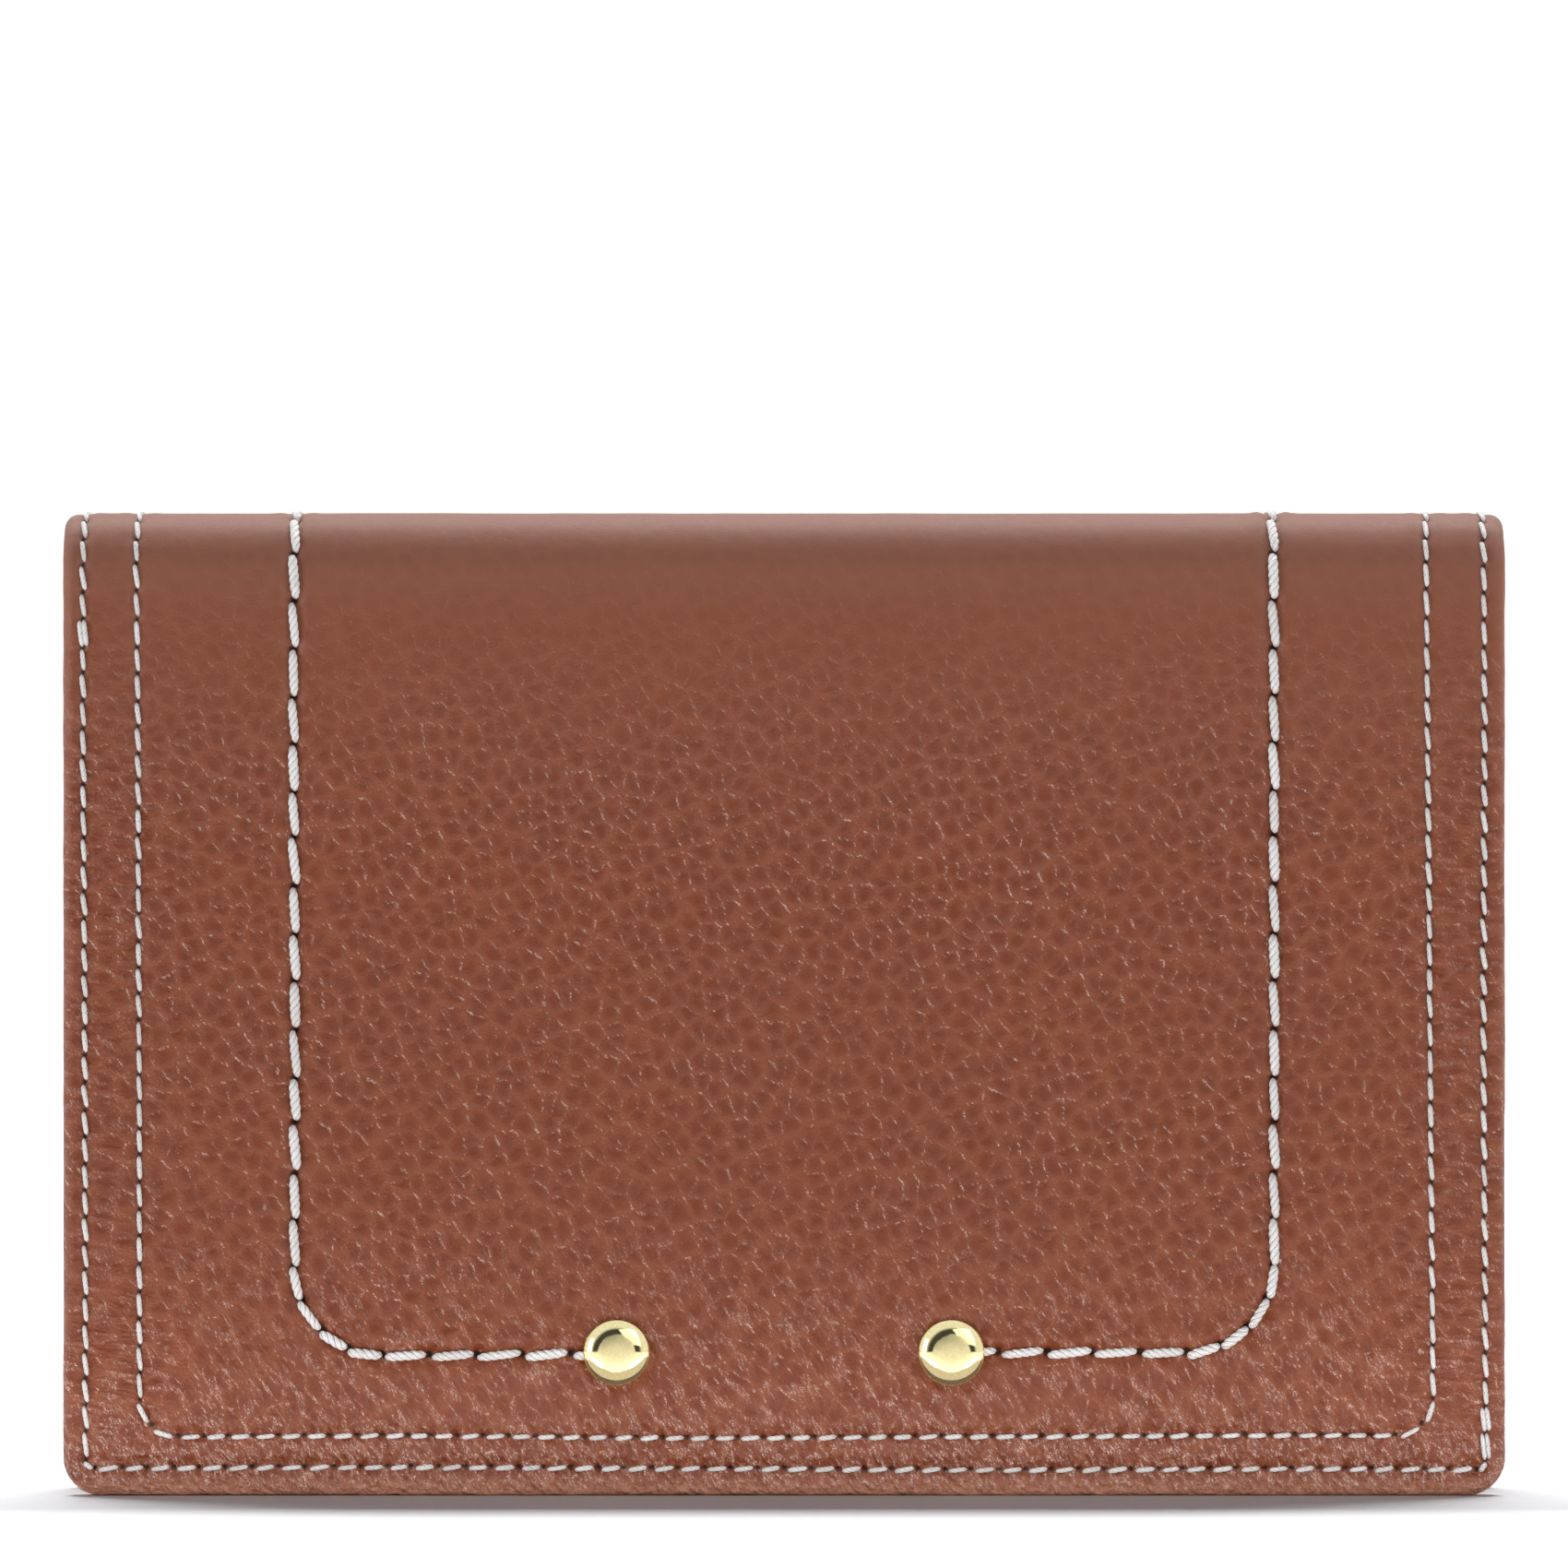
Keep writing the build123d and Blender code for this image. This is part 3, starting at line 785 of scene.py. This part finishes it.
def leather_material(name, depth=1.0):
    """Pebbled tan leather: soft dark pebbles in a paler ground, calm at the fold and wrinkled at the foot,
    with painted highlights and painted shade.
    """
    n = Surface(name)
    grain, drawn = n.attribute("grain", "Vector"), n.attribute("drawn", "Vector")
    x, v, _ = n.split(drawn)
    fuzz = n.noise(drawn, 6.0, 3.0)
    off = n.math("SUBTRACT", fuzz, 0.5)

    # Where the leather is calm or drawn in: the fold, the foot, the hem and the two sides.
    calm = n.range(v, 50.0, 71.0, 1.0, 0.08)
    patch = n.range(n.noise(drawn, 0.10, 2.0), 0.3, 0.7, 0.65, 1.0)
    strength = n.product(calm, patch)
    foot = n.range(v, 3.0, 26.0, 1.0, 0.0)
    hem = n.range(v, 3.0, 7.5, 1.0, 0.0)
    beside = n.range(n.math("ABSOLUTE", x), 43.0, 51.0, 0.0, 1.0)
    pulled = n.math("MAXIMUM", foot, n.product(beside, 0.35, calm))

    border, facing, from_centre = pebbles(n, grain, off)
    pebble = n.range(border, 0.0, 0.36, 0.0, 1.0)
    wrinkle = wrinkles(n, drawn, beside)
    crimp = n.noise(n.slanted(drawn, 20, 0.42, 0.8), 1.0, 2.0)

    creases = n.product(n.math("SUBTRACT", wrinkle, 0.5), n.product(pulled, 3.6))
    puckers = n.product(n.math("SUBTRACT", crimp, 0.5), n.product(hem, 3.4))
    relief = n.total(n.product(pebble, 0.9, strength), n.total(creases, puckers), n.product(fuzz, 0.22))
    normal = n.bump(relief, RELIEF * depth)

    core = n.product(n.range(from_centre, 0.10, 0.66, 0.9, 0.0), n.range(strength, 0.0, 1.0, 0.3, 1.0))
    color = n.mix(core, GROUND, PEBBLE_AND_TROUGH_SHADE)
    color = n.mix(n.range(n.noise(drawn, 13.0, 2.0), 0.45, 0.65, 0.0, 0.08), color, SPECK_AND_PAINTED_SHEEN)
    # Painted highlight on the wrinkles' crests, then painted shade in their troughs.
    color = n.mix(n.product(n.range(wrinkle, 0.50, 0.64, 0.0, 0.16), pulled), color, SPECK_AND_PAINTED_SHEEN)
    color = n.mix(n.product(n.range(wrinkle, 0.36, 0.48, 0.35, 0.0), pulled), color, PEBBLE_AND_TROUGH_SHADE)
    # Painted light: the leather is paler towards the bottom edge.
    color = n.mix(n.range(v, 0.6, 8.0, 0.12, 0.0), color, SPECK_AND_PAINTED_SHEEN)
    # Painted shade in the troughs of the puckers along the hem.
    color = n.mix(n.product(n.range(crimp, 0.36, 0.48, 0.5, 0.0), hem), color, PEBBLE_AND_TROUGH_SHADE)
    # Painted light on the rounded bottom edge, strongest at the very edge.
    color = n.mix(n.range(v, -0.6, 1.7, 0.95, 0.0), color, EDGE_PAINTED_LIGHT)

    # Painted highlights: short broken strokes on the pebbles' shoulders, the wrinkles' crests and the crimps.
    strokes = n.noise(n.slanted(drawn, 40, 0.20, 1.0), 1.0, 2.0)
    strands = n.noise(n.slanted(drawn, 26, 0.13, 0.50), 1.0, 2.0)
    broken = n.range(n.noise(drawn, 9.0, 2.0), 0.42, 0.58, 0.0, 1.0)
    shoulder = n.product(n.range(border, 0.0, 0.16, 1.0, 0.0), n.range(facing, 0.0, 0.08, 0.0, 1.0))
    on_pebbles = n.product(shoulder, n.range(strokes, 0.50, 0.62, 0.0, 0.9), strength)
    crests = n.range(wrinkle, 0.50, 0.62, 0.0, 0.75)
    on_creases = n.product(crests, n.range(strands, 0.49, 0.60, 0.0, 1.0), pulled)
    crimps = n.range(crimp, 0.50, 0.62, 0.0, 0.9)
    on_crimps = n.product(crimps, n.range(strands, 0.46, 0.56, 0.1, 1.0), hem)
    glints = n.math("MAXIMUM", n.math("MAXIMUM", on_pebbles, on_creases), on_crimps)
    color = n.mix(n.product(glints, broken), color, PAINTED_GLINT)

    color = n.mix(n.range(n.noise(drawn, 0.06, 3.0), 0.3, 0.7, 0.0, 0.12), color, CLOUD)
    # Painted sheen over the fold: greyer and paler towards the top, most on the bend.
    color = n.mix(n.range(v, 46.0, 70.0, 0.0, 0.15), color, FOLD_PAINTED_SHEEN)
    color = n.mix(n.range(v, 66.0, 77.0, 0.0, 0.54), color, FOLD_PAINTED_SHEEN)
    # Painted shade inside the needle holes.
    color = n.mix(n.attribute("hole", "Fac"), color, HOLE_PAINTED_SHADE)
    roughness = n.total(n.range(fuzz, 0.3, 0.7, 0.32, 0.44), n.range(v, 64.0, 73.0, 0.0, 0.16))
    return n.finish(Base_Color=color, Roughness=roughness, Normal=normal, Specular_IOR_Level=0.42)


def thread_material(name):
    """Off-white twisted thread: painted shade between its plies, with fine fibres and a little sheen."""
    n = Surface(name)
    turn, along, crest = n.split(n.attribute("strand", "Vector"))
    fibre = n.math("SINE", n.math("SUBTRACT", n.product(turn, 7.0), n.product(along, 30.0)))
    color = n.mix(n.attribute("tone", "Fac"), srgb(252, 250, 248), srgb(240, 236, 232))
    color = n.mix(n.range(fibre, -1.0, -0.2, 0.16, 0.0), color, srgb(150, 138, 130))
    # Painted shade: greyer in the grooves between the plies.
    color = n.mix(n.range(crest, 0.05, 0.60, 0.72, 0.0), color, srgb(120, 106, 98))
    normal = n.bump(fibre, 0.00002)
    return n.finish(
        Base_Color=color, Roughness=0.32, Normal=normal, Specular_IOR_Level=0.7, Sheen_Weight=0.2
    )


def cloth_material(name, warp, weft):
    """Fine twill lining: warp and weft cross at a slant."""
    n = Surface(name)
    drawn = n.attribute("drawn", "Vector")
    x, v, _ = n.split(drawn)
    across = n.math("SINE", n.product(x, 15.0))
    slant = n.math("SINE", n.total(n.product(x, 7.5), n.product(v, 13.0)))
    over = n.total(n.product(across, 0.35), n.product(slant, 0.65))
    color = n.mix(n.range(over, -0.6, 0.6, 0.0, 1.0), weft, warp)
    color = n.mix(n.range(n.noise(drawn, 0.8, 4.0), 0.35, 0.65, 0.0, 0.18), color, srgb(60, 40, 28))
    normal = n.bump(over, 0.00003)
    return n.finish(Base_Color=color, Roughness=0.85, Normal=normal, Sheen_Weight=0.2)


def brass_material(name):
    """Pale brass: a satin crown in a polished shoulder, with fine scuffs."""
    n = Surface(name)
    place = n.in_millimetres()
    grit = n.noise(place, 4.5, 3.0)
    edge = n.total(n.attribute("off_centre", "Fac"), n.product(n.noise(place, 1.6, 3.0), 0.3))
    satin = n.range(edge, 1.50, 1.72, 1.0, 0.0)
    scuffs = n.range(n.noise(n.scaled(place, (1.0, 1.0, 4.0)), 1.5, 4.0), 0.4, 0.75, 0.03, 0.10)
    roughness = n.math("MAXIMUM", n.product(satin, 0.42), scuffs)
    color = n.mix(n.range(grit, 0.35, 0.65, 0.0, 1.0), srgb(248, 232, 176), srgb(240, 222, 164))
    normal = n.bump(n.product(grit, satin), 0.000008)
    return n.finish(Base_Color=color, Roughness=roughness, Normal=normal, Metallic=1.0)


def board_material(name, light, dark):
    """Pressed fibre board, flecked."""
    n = Surface(name)
    place = n.in_millimetres()
    color = n.mix(n.range(n.noise(place, 1.4, 5.0), 0.4, 0.65, 0.0, 1.0), light, dark)
    normal = n.bump(n.noise(place, 3.0, 3.0), 0.00002)
    return n.finish(Base_Color=color, Roughness=0.85, Normal=normal)


def floor_material():
    """Plain pale matt surface, lit from within away from the holder like a light table."""
    n = Surface("pale_floor")
    place = n.place()
    color = n.mix(n.noise(place, 3.0, 2.0), srgb(222, 223, 226), srgb(228, 229, 231))
    x, y, _ = n.split(place)
    behind = n.range(y, 0.06, 0.90, 0.0, 0.75)
    beside = n.range(n.math("ABSOLUTE", x), 0.35, 0.9, 0.0, 0.45)
    glow = n.math("MAXIMUM", behind, beside)
    return n.finish(
        Base_Color=color, Roughness=0.9, Emission_Color=(1.0, 1.0, 1.0, 1.0), Emission_Strength=glow
    )


# ---------------------------------------------------------------- the holder


cover_leather = leather_material("pebbled_leather")
pocket_leather = leather_material("pocket_leather", 0.55)
thread = thread_material("off_white_thread")
lining_cloth = cloth_material("twill_lining", srgb(150, 118, 92), srgb(118, 88, 66))
brass = brass_material("polished_brass")
fibre_board = board_material("fibre_board", srgb(190, 168, 138), srgb(158, 134, 104))
filler_cloth = board_material("seam_filler", srgb(148, 88, 62), srgb(126, 74, 52))

front_rows = [(OUTER_ROW, 0.0), (INNER_ROW, 0.0), (HEAVY_ROW, RIVET_X)]
back_rows = [(OUTER_ROW, 0.0), (INNER_ROW, 0.0), (HEAVY_ROW, 0.0)]

BODY = {FRONT: "front", BACK: "back"}


def lay(piece, side, node, spine_node):
    """Bakes a piece's place into its mesh and hides the CAD nodes it stands for; the front's stands for the
    spine's node too.
    """
    if side == BACK:
        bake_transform(piece)
    else:
        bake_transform(piece)
    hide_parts(*([node, spine_node] if side == FRONT else [node]))


def fix(piece, body, node):
    """Fixes a piece to one body in its CAD node's stead."""
    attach(piece, body)
    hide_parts(node)


# A row's kind, its slot, the rings and sides of its stitches, their twist in radians per millimetre,
# and how far each stitch leans from the row in degrees.
STYLES = (
    ("outer", "thread_fine", 13, 12, 5.5, 8.0),
    ("inner", "thread_fine", 13, 12, 5.5, 6.0),
    ("heavy", "thread_heavy", 33, 24, 3.5, 5.0),
)


def add_half(side, rows, seed):
    """The leather, threads and lining of one half."""
    body = BODY[side]
    skin = cover_skin(body + "_cover_skin", side, rows, side == FRONT, cover_leather, seed)
    lay(skin, side, body + "_cover_leather", "spine_leather")
    for (row, first), (kind, slot, rings, *style) in zip(rows, STYLES):
        name = f"{body}_{kind}_thread"
        sewn = thread_row(name, side, row, first, thread, rings, *style, seed + rings)
        lay(sewn, side, f"{body}_{kind}_stitching", f"spine_{kind}_stitching")
    half_width, foot = HALF_WIDTH - HEM - 0.1, HEM + 0.1
    across = (half_width, foot, V_MIDDLE, BOARD_FOOT, COVER - 0.02)
    lining = panel_piece(
        body + "_lining_cloth", side, *across, (0.4, 0.4), lining_cloth, None, seed + 3, bends=True
    )
    lay(lining, side, body + "_lining", "spine_lining")


def depths(side, node):
    """A CAD panel's near and far depth from the outer face."""
    low, high = (corner.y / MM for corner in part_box(node))
    return (BACK_Y - high, BACK_Y - low) if side == BACK else (low - FRONT_Y, high - FRONT_Y)


def add_panel(side, node, material, corners, seed):
    """An interior panel in its CAD node's place, with the stitch row below its mouth."""
    low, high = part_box(node)
    near, far = depths(side, node)
    half_width, foot, top = high.x / MM, low.z / MM, high.z / MM
    row = dict(v=top - 2.0, half=half_width - 4.0, pitch=2.0)
    piece = panel_piece(
        node + "_sewn", side, half_width, foot, top, near, far, corners, material, row, seed
    )
    fix(piece, BODY[side], node)
    return row, far


def add_mouth_threads(side, places, seed):
    """The fine stitches below each pocket's mouth on one cover."""
    chance = np.random.RandomState(seed)
    sewn = Thread(rings=9, sides=8, twist=5.0)
    for row, far in places:
        stitches = int(2 * row["half"] / row["pitch"])
        for k in range(stitches):
            x = (k - stitches / 2 + 1) * row["pitch"]
            if abs(x) > row["half"]:
                continue
            heading = math.radians(4 + chance.uniform(-2, 2))
            flat_x, flat_v, depth, strand = sewn.stitch(
                x, row["v"], heading, length=1.8, radius=0.15, squash=0.75, lift=0.02, dive=0.2
            )
            sewn.add(roll(side, flat_x, flat_v, far - depth), strand, chance.uniform(0, 1))
    body = BODY[side]
    fix(sewn.finish(body + "_mouth_thread", thread), body, body + "_mouth_stitching")


def lathe(profile, centre, steps=96):
    """Points and faces of a turned shape standing out of the front cover at a centre (x, z)."""
    points, faces = [], []
    turns = np.linspace(0, 2 * math.pi, steps, endpoint=False)
    for radius, out in profile:
        x = centre[0] + radius * np.cos(turns)
        z = centre[1] + radius * np.sin(turns)
        points.append(np.stack([x, np.full(steps, FRONT_Y - out), z], axis=-1))
    for ring in range(len(profile) - 1):
        for k in range(steps):
            n = (k + 1) % steps
            a, b = ring * steps, (ring + 1) * steps
            faces.append([a + k, a + n, b + n, b + k])
    last = (len(profile) - 1) * steps
    faces += [list(range(steps))[::-1], list(range(last, last + steps))]
    return np.concatenate(points), faces


def add_rivets():
    """Two domed caps: a short wall on the leather, a rounded shoulder and a nearly flat crown."""
    profile = [(CAP_RADIUS - 0.2, -0.25), (CAP_RADIUS - 0.06, -0.16), (CAP_RADIUS, -0.04), (CAP_RADIUS, 0.42)]
    for step in range(0, 26):
        share = math.cos(math.radians(89.0) * step / 25)
        profile.append((CAP_RADIUS * share, CAP_WALL + (CAP_HEIGHT - CAP_WALL) * (1 - share ** 3.4)))
    points, faces, count = [], [], 0
    for x in (-RIVET_X, RIVET_X):
        ring_points, ring_faces = lathe(profile, (x, RIVET_Z))
        points.append(ring_points)
        faces += [[n + count for n in face] for face in ring_faces]
        count += len(ring_points)
    points = np.concatenate(points)
    piece = new_piece("rivet_domes", points, faces, brass, smooth_angle=40)
    off_centre = np.hypot(np.abs(points[:, 0]) - RIVET_X, points[:, 2] - RIVET_Z)
    give(piece, "off_centre", off_centre)
    fix(piece, "front", "rivet_caps")


def add_spine_stay():
    """The reinforcement under the spine's flat, between its two bends."""
    reach = HALF - FOLD_RADIUS
    long = HALF_WIDTH - LEATHER - 0.2
    points, faces = [], []
    steps = np.linspace(-reach, reach, 9)
    for depth in (LEATHER + 0.04, BOARD_FOOT - 0.04):
        for y in steps:
            for x in (-long, long):
                points.append((x, MIDDLE_Y + y, HEIGHT - depth))
    for layer in (0, 18):
        for k in range(8):
            a = layer + 2 * k
            faces.append([a, a + 1, a + 3, a + 2])
    rim = [0, *range(1, 18, 2), *range(16, 0, -2)]
    faces += [[a, b, b + 18, a + 18] for a, b in zip(rim, rim[1:] + rim[:1])]
    piece = new_piece("spine_stay", np.array(points), faces, fibre_board)
    fix(piece, "spine", "spine_reinforcement")


add_half(FRONT, front_rows, 31)
add_half(BACK, back_rows, 67)
for side, seed in ((FRONT, 101), (BACK, 151)):
    body = BODY[side]
    places = [
        add_panel(side, body + "_base_panel", lining_cloth, (2.4, 1.0), seed),
        add_panel(side, body + "_upper_pocket", pocket_leather, (2.0, 0.8), seed + 1),
        add_panel(side, body + "_lower_pocket", pocket_leather, (2.0, 0.8), seed + 2),
    ]
    add_mouth_threads(side, places, seed + 3)
add_rivets()
add_spine_stay()

for node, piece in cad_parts.items():
    if piece.hide_render:
        continue
    piece.data.materials.clear()
    if "filler" in node:
        piece.data.materials.append(filler_cloth)
    elif "rivet" in node:
        piece.data.materials.append(brass)
    else:
        piece.data.materials.append(fibre_board)


# ---------------------------------------------------------------- stage, light and camera


def add_floor():
    """A pale floor that curves up into a backdrop behind the holder, in metres."""
    front, bend_start, bend, top, half_width = -3.0, 1.4, 0.8, 3.5, 4.0
    profile = [(front, 0.0), (bend_start, 0.0)]
    for step in range(1, 13):
        turn = math.radians(90) * step / 12
        profile.append((bend_start + bend * math.sin(turn), bend * (1 - math.cos(turn))))
    profile.append((bend_start + bend, top))
    mesh = bpy.data.meshes.new("floor")
    points = [(x, y, z) for y, z in profile for x in (-half_width, half_width)]
    faces = [(2 * k, 2 * k + 1, 2 * k + 3, 2 * k + 2) for k in range(len(profile) - 1)]
    mesh.from_pydata(points, [], faces)
    mesh.polygons.foreach_set("use_smooth", [True] * len(faces))
    mesh.materials.append(floor_material())
    floor = bpy.data.objects.new("floor", mesh)
    bpy.context.scene.collection.objects.link(floor)


# The lights: name, place, the point that each faces, width and height, all in metres, its watts, and
# whether it falls on the floor alone (INCLUDE) or on everything but the floor (EXCLUDE).
LIGHTS = (
    ("overhead", (0.0, 0.32, 1.0), (0.0, 0.04, 0.0), (2.0, 0.28), 14.5, "EXCLUDE"),
    ("floor_wash", (0.0, 0.31, 1.0), (0.0, 0.0, 0.0), (0.9, 0.22), 20.5, "INCLUDE"),
    ("key", (0.56, -0.74, 0.62), (0.0, 0.0, 0.04), (0.90, 0.85), 3.25, "EXCLUDE"),
    ("left_side", (-1.0, -0.38, 0.18), (0.0, 0.0, 0.04), (0.30, 0.7), 3.2, "EXCLUDE"),
    ("under_card", (0.0, -0.020, 0.001), (0.0, -0.020, 1.0), (0.118, 0.022), 0.0046, "EXCLUDE"),
    ("low_fill", (0.0, -0.020, 0.003), (0.0, 0.0, 0.001), (0.13, 0.005), 0.0050, "EXCLUDE"),
)


def add_light(name, place, target, size, watts, floor):
    """A soft oblong light, out of the camera's sight, with the floor put in or left out."""
    data = bpy.data.lights.new(name, "AREA")
    data.shape = "RECTANGLE"
    data.size, data.size_y = size
    data.energy = watts
    light = bpy.data.objects.new(name, data)
    light.location = place
    light.rotation_euler = (Vector(target) - Vector(place)).to_track_quat("-Z", "Y").to_euler()
    light.visible_camera = False
    bpy.context.scene.collection.objects.link(light)
    receivers = bpy.data.collections.new(name + "_receivers")
    receivers.objects.link(bpy.data.objects["floor"])
    receivers.collection_objects[0].light_linking.link_state = floor
    light.light_linking.receiver_collection = receivers


def add_world():
    """A studio tent, bright overhead and at both ends and dark towards the front and the back.

    Polished surfaces mirror it brighter than it lights matt ones, and the camera sees plain white.
    """
    world = bpy.data.worlds.new("studio")
    world.use_nodes = True
    n = Nodes(world.node_tree)
    toward = n.math("ABSOLUTE", n.split(n.add("ShaderNodeTexCoord", {})["Generated"])[1])

    def tent(bright, dark):
        strength = n.range(toward, 0.45, 0.68, bright, dark)
        return n.add("ShaderNodeBackground", {"Color": (0.93, 0.97, 1.0, 1.0), "Strength": strength})[0]

    def either(output, first, second):
        which = n.add("ShaderNodeLightPath", {})[output]
        return n.add("ShaderNodeMixShader", {0: which, 1: first, 2: second})[0]

    backdrop = n.tree.nodes["Background"]
    n.feed(backdrop, {"Color": (1.0, 1.0, 1.0, 1.0)})
    seen = either("Is Glossy Ray", tent(0.30, 0.10), tent(1.0, 0.07))
    seen = either("Is Camera Ray", seen, backdrop.outputs[0])
    n.feed(n.tree.nodes["World Output"], {"Surface": seen})
    bpy.context.scene.world = world


# The camera looks straight along +Y from a little above the holder's middle; the picture is
# IMAGE_WIDTH across at the front cover.
IMAGE_WIDTH = 119.49
CAMERA_HEIGHT = 54.26
CAMERA_DISTANCE = 900.0
SENSOR = 36.0


def add_camera():
    data = bpy.data.cameras.new("camera")
    data.sensor_width = SENSOR
    data.lens = SENSOR * CAMERA_DISTANCE / IMAGE_WIDTH
    data.clip_start, data.clip_end = 0.01, 20.0
    camera = bpy.data.objects.new("camera", data)
    camera.location = (0.0, (FRONT_Y - CAMERA_DISTANCE) * MM, CAMERA_HEIGHT * MM)
    camera.rotation_euler = (math.radians(90), 0, 0)
    bpy.context.scene.collection.objects.link(camera)
    bpy.context.scene.camera = camera


add_floor()
add_world()
for light in LIGHTS:
    add_light(*light)
add_camera()
bpy.context.scene.view_settings.view_transform = "Standard"
